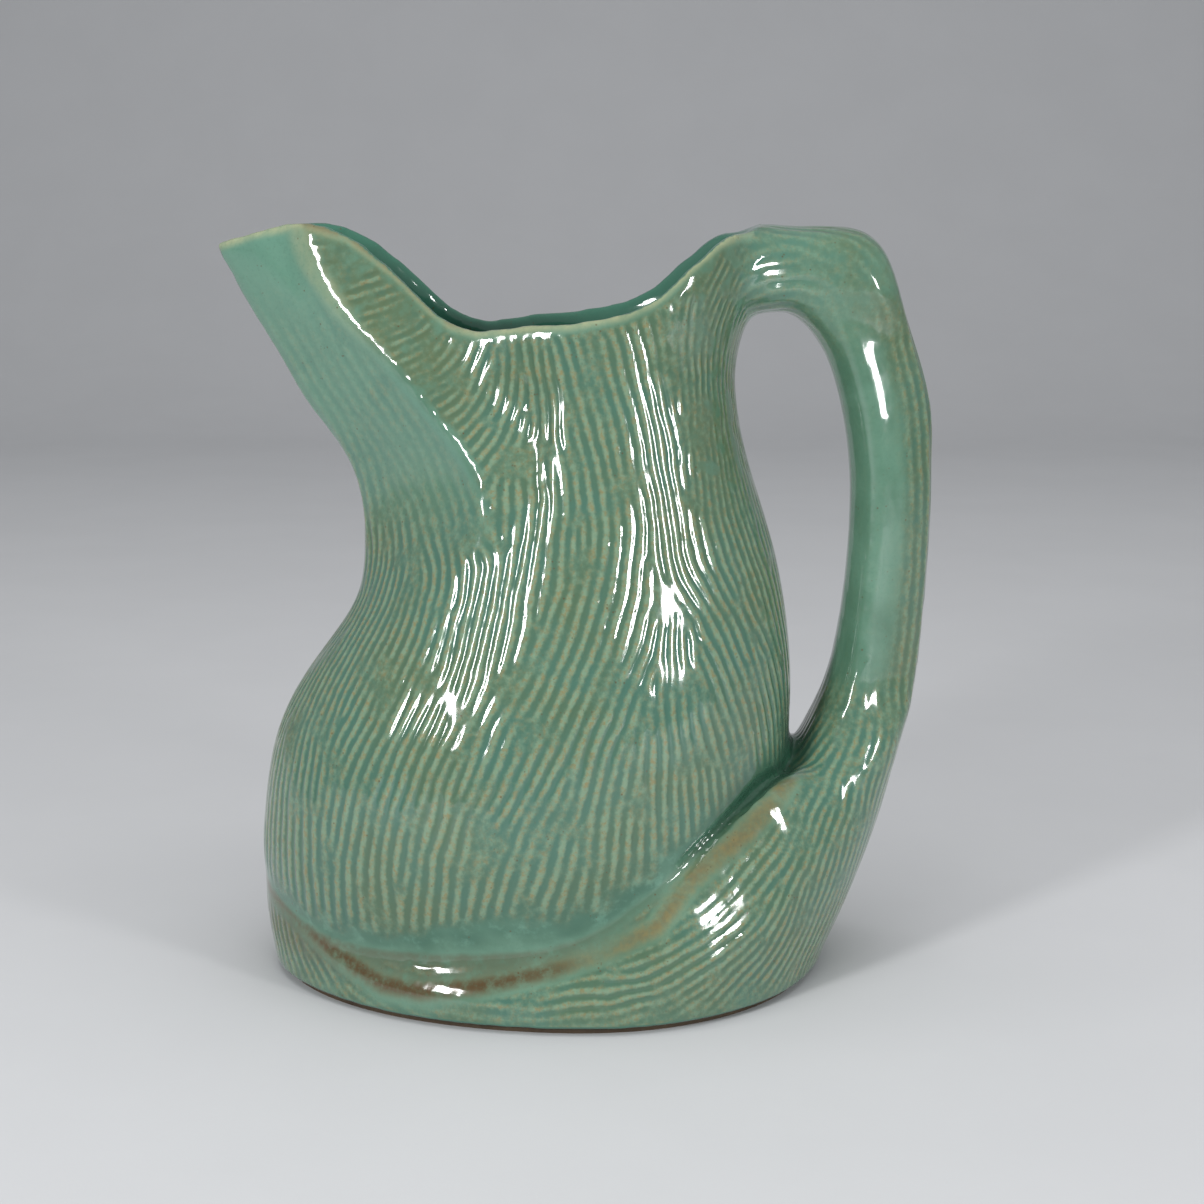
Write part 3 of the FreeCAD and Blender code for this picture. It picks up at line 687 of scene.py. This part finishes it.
def combed_clay():
    """The whole glazed pitcher in one mesh, combed, with its masks stored on the vertices."""
    clay = remeshed_clay()
    near = node_distances(vertex_places(clay))
    soften_seams(clay, near)
    outer = outer_mask(clay, near)
    for name in ("body", "skirt", "handle"):
        with_values(clay, name, near[name])
    with_values(clay, "outer", outer.astype(float))
    fine = refined(clay, outer)
    bpy.data.meshes.remove(clay)
    around = Neighbours(fine)
    places = around.relaxed(vertex_places(fine), 0.5, FINE_ROUNDS)
    move_vertices(fine, places)
    normals = vertex_normals(fine)
    zones = Zones(places, *(values_of(fine, name) for name in ("body", "skirt", "handle", "outer")))
    for name in ("body", "skirt", "handle", "outer"):
        fine.attributes.remove(fine.attributes[name])
    ridge, clear = comb_pattern(places, normals, zones, comb_guides(places, normals, zones))
    zone_share = zones.comb_share()
    share = zone_share * clear
    furrow = 1.0 - smooth_step(ridge, -0.1, 0.95)
    move_vertices(fine, places - normals * (COMB_DEPTH * share * zones.comb_depth() * furrow)[:, None])
    with_values(fine, "comb_ridge", 0.5 + (ridge - 0.5) * share)
    with_values(fine, "comb_share", zone_share)
    for name in GLAZE_ZONES:
        with_values(fine, name, getattr(zones, name)())
    with_values(fine, "inside_glaze", 1.0 - zones.outer)
    with_values(fine, "surface_way", vertex_normals(fine))
    return fine


SEAM_WAY = (BEAK_SEAM[0] - BEAK_SEAM[1]).cross(Vector((0, 1, 0))).normalized()
PLANES = {
    "skirt_top": (Vector((0, 0, SKIRT_TOP)), Vector((0, 0, 1))),
    "neck_base": (Vector((0, 0, NECK_BASE)), Vector((0, 0, 1))),
    "bridge_place": (Vector((BRIDGE_PLACE, 0, 0)), Vector((1, 0, 0))),
    "beak_seam": (BEAK_SEAM[0], SEAM_WAY),
}
PIECES = {
    "skirt_and_floor": ("base_skirt", "vessel_floor"),
    "belly": ("body_shell",),
    "neck": ("body_shell",),
    "beak": ("spout",),
    "handle": ("handle",),
}


def off_plane(place, plane):
    return (place - PLANES[plane][0]).dot(PLANES[plane][1])


def is_cut(plane, place):
    """Whether a plane parts the clay at a place."""
    if plane == "neck_base":
        return place.x < GAP_MIDDLE
    if plane == "bridge_place":
        return place.z > BRIDGE_LOWEST
    if plane == "beak_seam":
        return place.z > NECK_BASE and place.x < 0
    return True


def piece_at(place):
    """The name of the piece that a face's middle belongs to."""
    if place.z < SKIRT_TOP:
        return "skirt_and_floor"
    if place.x > (BRIDGE_PLACE if place.z > BRIDGE_LOWEST else GAP_MIDDLE):
        return "handle"
    if place.z < NECK_BASE:
        return "belly"
    return "beak" if off_plane(place, "beak_seam") > 0 and place.x < 0 else "neck"


def parted(whole):
    """The meshes of the pieces, each closed where it was cut off its neighbours."""
    shape = bmesh.new()
    shape.from_mesh(whole)
    for plane, (point, way) in PLANES.items():
        near = [face for face in shape.faces
                if abs(off_plane(face.calc_center_median(), plane)) < CUT_REACH
                and is_cut(plane, face.calc_center_median())]
        parts = {part for face in near for part in (face, *face.verts, *face.edges)}
        bmesh.ops.bisect_plane(shape, geom=list(parts), dist=CUT_TOLERANCE, plane_co=point, plane_no=way)
    names = [piece_at(face.calc_center_median()) for face in shape.faces]
    meshes = {}
    for piece in PIECES:
        alone = shape.copy()
        alone.faces.ensure_lookup_table()
        others = [face for face, name in zip(alone.faces, names) if name != piece]
        bmesh.ops.delete(alone, geom=others, context="FACES")
        close_cuts(alone)
        mesh = bpy.data.meshes.new(piece)
        alone.to_mesh(mesh)
        alone.free()
        meshes[piece] = mesh
    shape.free()
    return meshes


def is_on(vertex, plane):
    return abs(off_plane(vertex.co, plane)) < 2 * CUT_TOLERANCE


def open_edges(shape, plane):
    return [edge for edge in shape.edges
            if len(edge.link_faces) < 2 and all(is_on(end, plane) for end in edge.verts)]


def close_cuts(shape):
    """Fill each flat cut of a piece, with an edge through the clay wherever two of its cuts meet."""
    seam = open_edges(shape, "beak_seam")
    corners = {end for edge in seam for end in edge.verts}
    corners = [vertex for vertex in corners if is_on(vertex, "neck_base")]
    corners.sort(key=lambda vertex: vertex.co.y)
    for pair in zip(corners[::2], corners[1::2]):
        if shape.edges.get(pair) is None:
            shape.edges.new(pair)
    for plane in PLANES:
        edges = open_edges(shape, plane)
        if edges:
            bmesh.ops.triangle_fill(shape, use_beauty=True, use_dissolve=False, edges=edges)
    bmesh.ops.recalc_face_normals(shape, faces=list(shape.faces))


def paint(red, green, blue):
    """A colour as seen on the pitcher, from 0 to 255, as the renderer wants it."""
    linear = [((part / 255 + 0.055) / 1.055) ** 2.4 for part in (red, green, blue)]
    return (*linear, 1.0)


PALE_RIDGE = paint(118, 144, 118)
TAN_RIDGE = paint(132, 124, 86)
TEAL_FURROW = paint(66, 105, 90)
GREEN_FURROW = paint(74, 100, 76)
SMOOTH_GREEN = paint(96, 134, 114)
DEEP_GREEN = paint(72, 110, 90)
TURQUOISE_POOL = paint(56, 98, 82)
BRIGHT_TURQUOISE = paint(98, 142, 124)
OLIVE = paint(80, 98, 70)
# The colour of the painted shade in the cleft by the handle's root.
SHADED_GREEN = paint(40, 78, 60)
OCHRE_CREST = paint(150, 136, 86)
TAN_LIP = paint(160, 162, 126)
BROWN_BREAK = paint(78, 60, 32)
INSIDE_GREEN = paint(56, 104, 86)
IRON_SPECK = paint(84, 62, 34)
# The bare foot ring's colours are painted dark, as shade where the pitcher meets the floor.
BARE_CLAY_IN_SHADE = paint(74, 60, 44)
BARE_CLAY_TOASTED_IN_SHADE = paint(52, 40, 28)
STUDIO_GREY = paint(196, 197, 199)
STUDIO_GREY_SOFT = paint(194, 195, 197)
STUDIO_AIR = paint(205, 207, 210)


class Nodes:
    """Short ways to add the nodes of one tree."""

    def __init__(self, tree):
        self.tree = tree
        tree.nodes.clear()

    def add(self, kind, links=(), **settings):
        node = self.tree.nodes.new(kind)
        for name, value in settings.items():
            setattr(node, name, value)
        for socket, source in dict(links).items():
            if isinstance(source, bpy.types.NodeSocket):
                self.tree.links.new(source, node.inputs[socket])
            else:
                node.inputs[socket].default_value = source
        return node

    def value_on_clay(self, name):
        return self.add("ShaderNodeAttribute", attribute_name=name).outputs["Fac"]

    def places(self):
        return self.add("ShaderNodeTexCoord").outputs["Object"]

    def noise(self, places, scale, detail=3.0, roughness=0.5, distortion=0.0):
        links = {"Vector": places, "Scale": scale, "Detail": detail, "Roughness": roughness,
                 "Distortion": distortion}
        return self.add("ShaderNodeTexNoise", links).outputs["Fac"]

    def ramp(self, value, low, high, start=0.0, end=1.0):
        links = {"Value": value, "From Min": low, "From Max": high, "To Min": start, "To Max": end}
        return self.add("ShaderNodeMapRange", links, interpolation_type="SMOOTHSTEP").outputs["Result"]

    def maths(self, operation, first, second):
        node = self.add("ShaderNodeMath", {0: first, 1: second}, operation=operation, use_clamp=True)
        return node.outputs[0]

    def times(self, first, second):
        return self.maths("MULTIPLY", first, second)

    def mix(self, share, first, second):
        node = self.add("ShaderNodeMix", {0: share, 6: first, 7: second}, data_type="RGBA")
        return node.outputs[2]


def effect(name, inputs, outputs):
    """An empty node group with its sockets, and its input and output nodes."""
    group = bpy.data.node_groups.new(name, "ShaderNodeTree")
    for socket, kind in inputs:
        group.interface.new_socket(name=socket, in_out="INPUT", socket_type=kind)
    for socket, kind in outputs:
        group.interface.new_socket(name=socket, in_out="OUTPUT", socket_type=kind)
    nodes = Nodes(group)
    return group, nodes, nodes.add("NodeGroupInput"), nodes.add("NodeGroupOutput")


def iron_specks():
    """Fine dark specks of iron in the clay, showing through the glaze and on the bare foot."""
    group, nodes, entry, result = effect(
        "iron_specks", [("Places", "NodeSocketVector")],
        [("Specks", "NodeSocketFloat"), ("Grain", "NodeSocketFloat")])
    cells = nodes.add("ShaderNodeTexVoronoi", {"Vector": entry.outputs["Places"], "Scale": 620.0})
    dots = nodes.ramp(cells.outputs["Distance"], 0.10, 0.26, 1.0, 0.0)
    sparse = nodes.ramp(nodes.noise(entry.outputs["Places"], 240.0, 2.0), 0.56, 0.70)
    grain = nodes.noise(entry.outputs["Places"], 900.0, 4.0, 0.65)
    group.links.new(nodes.times(dots, sparse), result.inputs["Specks"])
    group.links.new(grain, result.inputs["Grain"])
    return group


def sea_glaze(specks):
    """The running glaze: teal in furrows, tan on ridges, turquoise where it pooled, brown where it broke."""
    material = bpy.data.materials.new("sea_glaze")
    material.use_nodes = True
    nodes = Nodes(material.node_tree)
    places = nodes.places()
    spotted = nodes.add("ShaderNodeGroup", node_tree=specks)
    material.node_tree.links.new(places, spotted.inputs["Places"])
    grain = spotted.outputs["Grain"]
    cloud = nodes.noise(places, 34.0, 4.0, 0.55, 0.4)
    mottle = nodes.noise(places, 210.0, 4.0, 0.6)
    ridge = nodes.value_on_clay("comb_ridge")
    share = nodes.value_on_clay("comb_share")
    furrow_colour = nodes.mix(nodes.ramp(cloud, 0.35, 0.65), TEAL_FURROW, GREEN_FURROW)
    smooth_colour = nodes.mix(nodes.ramp(cloud, 0.32, 0.70), SMOOTH_GREEN, DEEP_GREEN)
    worn = nodes.ramp(nodes.noise(places, 520.0, 3.0, 0.6), 0.3, 0.7, -0.16, 0.12)
    bared = nodes.maths("ADD", nodes.maths("ADD", ridge, worn), nodes.ramp(mottle, 0.3, 0.7, -0.14, 0.10))
    bared = nodes.ramp(bared, 0.14, 0.96, 0.0, 0.88)
    tanned = nodes.ramp(nodes.noise(places, 640.0, 4.0, 0.7), 0.42, 0.66)
    ridge_colour = nodes.mix(tanned, PALE_RIDGE, TAN_RIDGE)
    combed_colour = nodes.mix(bared, furrow_colour, ridge_colour)
    colour = nodes.mix(nodes.ramp(share, 0.0, 0.5), smooth_colour, combed_colour)
    pooled = nodes.times(nodes.value_on_clay("pooled_glaze"), nodes.ramp(cloud, 0.2, 0.6, 0.45, 0.9))
    pool_colour = nodes.mix(nodes.ramp(mottle, 0.48, 0.74), TURQUOISE_POOL, BRIGHT_TURQUOISE)
    colour = nodes.mix(pooled, colour, pool_colour)
    bright = nodes.times(nodes.value_on_clay("bright_glaze"), nodes.ramp(cloud, 0.3, 0.6, 0.55, 1.0))
    colour = nodes.mix(bright, colour, BRIGHT_TURQUOISE)
    # Olive glaze, and on the strap's back partly painted shade.
    olive = nodes.times(nodes.value_on_clay("olive_glaze_and_strap_shade"), nodes.ramp(mottle, 0.32, 0.66, 0.2, 0.95))
    olive = nodes.times(olive, nodes.ramp(bared, 0.0, 1.0, 1.0, 0.35))
    colour = nodes.mix(olive, colour, OLIVE)
    thin = nodes.times(nodes.value_on_clay("thin_glaze"), nodes.ramp(mottle, 0.25, 0.75, 0.5, 0.95))
    colour = nodes.mix(thin, colour, TAN_LIP)
    worn_crest = nodes.times(nodes.value_on_clay("worn_crest"), nodes.ramp(mottle, 0.3, 0.7, 0.45, 1.0))
    colour = nodes.mix(worn_crest, colour, nodes.mix(nodes.ramp(worn, -0.16, 0.12), OCHRE_CREST, TAN_RIDGE))
    brown = nodes.times(nodes.value_on_clay("brown_glaze"), nodes.ramp(mottle, 0.25, 0.55, 0.35, 1.0))
    colour = nodes.mix(brown, colour, BROWN_BREAK)
    # Painted shade: the cleft between the belly and the handle's root is mixed towards a shaded green.
    colour = nodes.mix(nodes.value_on_clay("painted_cleft_shade"), colour, SHADED_GREEN)
    colour = nodes.mix(nodes.value_on_clay("inside_glaze"), colour, INSIDE_GREEN)
    colour = nodes.mix(nodes.times(spotted.outputs["Specks"], 0.75), colour, IRON_SPECK)
    colour = nodes.mix(nodes.ramp(grain, 0.30, 0.52, 0.22, 0.0), colour, DEEP_GREEN)
    ripple = nodes.add("ShaderNodeBump", {"Height": nodes.noise(places, 420.0, 2.0, 0.5), "Strength": 0.10,
                                          "Distance": 0.12 * MM})
    shader = nodes.add("ShaderNodeBsdfPrincipled", {
        "Base Color": colour, "Roughness": nodes.ramp(mottle, 0.2, 0.8, 0.05, 0.15), "IOR": 1.52,
        "Coat Weight": 0.35, "Coat Roughness": 0.03, "Normal": ripple.outputs["Normal"]})
    surface = nodes.add("ShaderNodeOutputMaterial")
    material.node_tree.links.new(shader.outputs["BSDF"], surface.inputs["Surface"])
    return material


def bare_clay(specks):
    """The unglazed foot ring: buff clay, rubbed and a little toasted by the fire, painted dark brown as the
    shade where it meets the floor.
    """
    material = bpy.data.materials.new("bare_clay")
    material.use_nodes = True
    nodes = Nodes(material.node_tree)
    places = nodes.places()
    spotted = nodes.add("ShaderNodeGroup", node_tree=specks)
    material.node_tree.links.new(places, spotted.inputs["Places"])
    toasted = nodes.ramp(nodes.noise(places, 60.0, 4.0, 0.6), 0.35, 0.7, 0.1, 0.9)
    # Painted shade: the foot ring's clay is darkened as if in the shadow at the floor.
    colour = nodes.mix(toasted, BARE_CLAY_IN_SHADE, BARE_CLAY_TOASTED_IN_SHADE)
    colour = nodes.mix(spotted.outputs["Specks"], colour, IRON_SPECK)
    tooth = nodes.add("ShaderNodeBump", {"Height": spotted.outputs["Grain"], "Strength": 0.5,
                                         "Distance": 0.15 * MM})
    shader = nodes.add("ShaderNodeBsdfPrincipled", {
        "Base Color": colour, "Roughness": nodes.ramp(spotted.outputs["Grain"], 0.3, 0.7, 0.75, 0.95),
        "Normal": tooth.outputs["Normal"]})
    surface = nodes.add("ShaderNodeOutputMaterial")
    material.node_tree.links.new(shader.outputs["BSDF"], surface.inputs["Surface"])
    return material


def studio_paper():
    """The pale paper of the floor, faintly mottled."""
    material = bpy.data.materials.new("studio_paper")
    material.use_nodes = True
    nodes = Nodes(material.node_tree)
    places = nodes.places()
    mottled = nodes.ramp(nodes.noise(places, 9.0, 5.0, 0.6), 0.3, 0.7)
    colour = nodes.mix(mottled, STUDIO_GREY, STUDIO_GREY_SOFT)
    tooth = nodes.add("ShaderNodeBump", {"Height": nodes.noise(places, 700.0, 3.0, 0.6), "Strength": 0.25,
                                         "Distance": 0.1 * MM})
    shader = nodes.add("ShaderNodeBsdfPrincipled", {
        "Base Color": colour, "Roughness": 0.75, "Normal": tooth.outputs["Normal"]})
    surface = nodes.add("ShaderNodeOutputMaterial")
    material.node_tree.links.new(shader.outputs["BSDF"], surface.inputs["Surface"])
    return material


def glazed_piece(name, mesh, material):
    """Show one piece of the pitcher, shaded as it was before it was parted."""
    mesh.shade_smooth()
    mesh.normals_split_custom_set_from_vertices(unit(values_of(mesh, "surface_way").astype(float)))
    mesh.attributes.remove(mesh.attributes["surface_way"])
    mesh.materials.append(material)
    piece = bpy.data.objects.new(name, mesh)
    bpy.context.scene.collection.objects.link(piece)
    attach(piece, "root")
    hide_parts(*PIECES[name])


def paper_sweep(material):
    """A paper floor that curves up behind the pitcher."""
    near, far, turn, top, half = -2.4, 1.5, 0.9, 2.6, 3.5
    angles = np.linspace(0, math.pi / 2, 25)
    bend = [(far + turn * math.sin(angle), turn - turn * math.cos(angle)) for angle in angles]
    profile = [(near, 0.0), *bend, (far + turn, top)]
    corners = [(side * half, y, z) for y, z in profile for side in (-1, 1)]
    faces = [(k, k + 1, k + 3, k + 2) for k in range(0, len(corners) - 2, 2)]
    mesh = bpy.data.meshes.new("paper_sweep")
    mesh.from_pydata(corners, [], faces)
    mesh.shade_smooth()
    mesh.materials.append(material)
    sweep = bpy.data.objects.new("paper_sweep", mesh)
    bpy.context.scene.collection.objects.link(sweep)


def lamp(name, place, aim, size, power):
    """A rectangular soft light at a place, turned to a point."""
    light = bpy.data.lights.new(name, "AREA")
    light.shape = "RECTANGLE"
    light.size, light.size_y = size
    light.energy = power
    holder = bpy.data.objects.new(name, light)
    holder.location = place
    holder.rotation_euler = (Vector(place) - Vector(aim)).to_track_quat("Z", "Y").to_euler()
    bpy.context.scene.collection.objects.link(holder)
    return holder


WINDOW_AIM = (0.0, 0.0, 0.14)
AIR_STRENGTH = 0.55
CAMERA_PLACE = (0.0072, -0.640, 0.244)
CAMERA_TILT = math.radians(79)
CAMERA_LENS = 59.8
CAMERA_SENSOR = 36


def studio():
    """The pale floor, the two small windows that the glaze mirrors, the light overhead, and the camera."""
    paper_sweep(studio_paper())
    lamp("left_window", (-0.74, -0.88, 0.50), WINDOW_AIM, (0.15, 0.36), 8.5)
    lamp("right_window", (0.84, -0.78, 0.31), WINDOW_AIM, (0.15, 0.21), 6.0)
    overhead = lamp("overhead", (0.1, -0.2, 1.9), (0.0, 0.1, 0.0), (1.6, 1.6), 22.0)
    overhead.visible_glossy = False
    world = bpy.data.worlds.new("studio_air")
    world.use_nodes = True
    air = world.node_tree.nodes["Background"].inputs
    air["Color"].default_value = STUDIO_AIR
    air["Strength"].default_value = AIR_STRENGTH
    bpy.context.scene.world = world
    camera = bpy.data.objects.new("camera", bpy.data.cameras.new("camera"))
    camera.location = CAMERA_PLACE
    camera.rotation_euler = (CAMERA_TILT, 0, 0)
    camera.data.lens = CAMERA_LENS
    camera.data.sensor_width = CAMERA_SENSOR
    bpy.context.scene.collection.objects.link(camera)
    bpy.context.scene.camera = camera
    bpy.context.scene.view_settings.view_transform = "Standard"


specks = iron_specks()
glaze = sea_glaze(specks)
for name, mesh in parted(combed_clay()).items():
    glazed_piece(name, mesh, glaze)
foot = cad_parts["foot_ring"]
for slot in foot.material_slots:
    slot.material = bare_clay(specks)
studio()
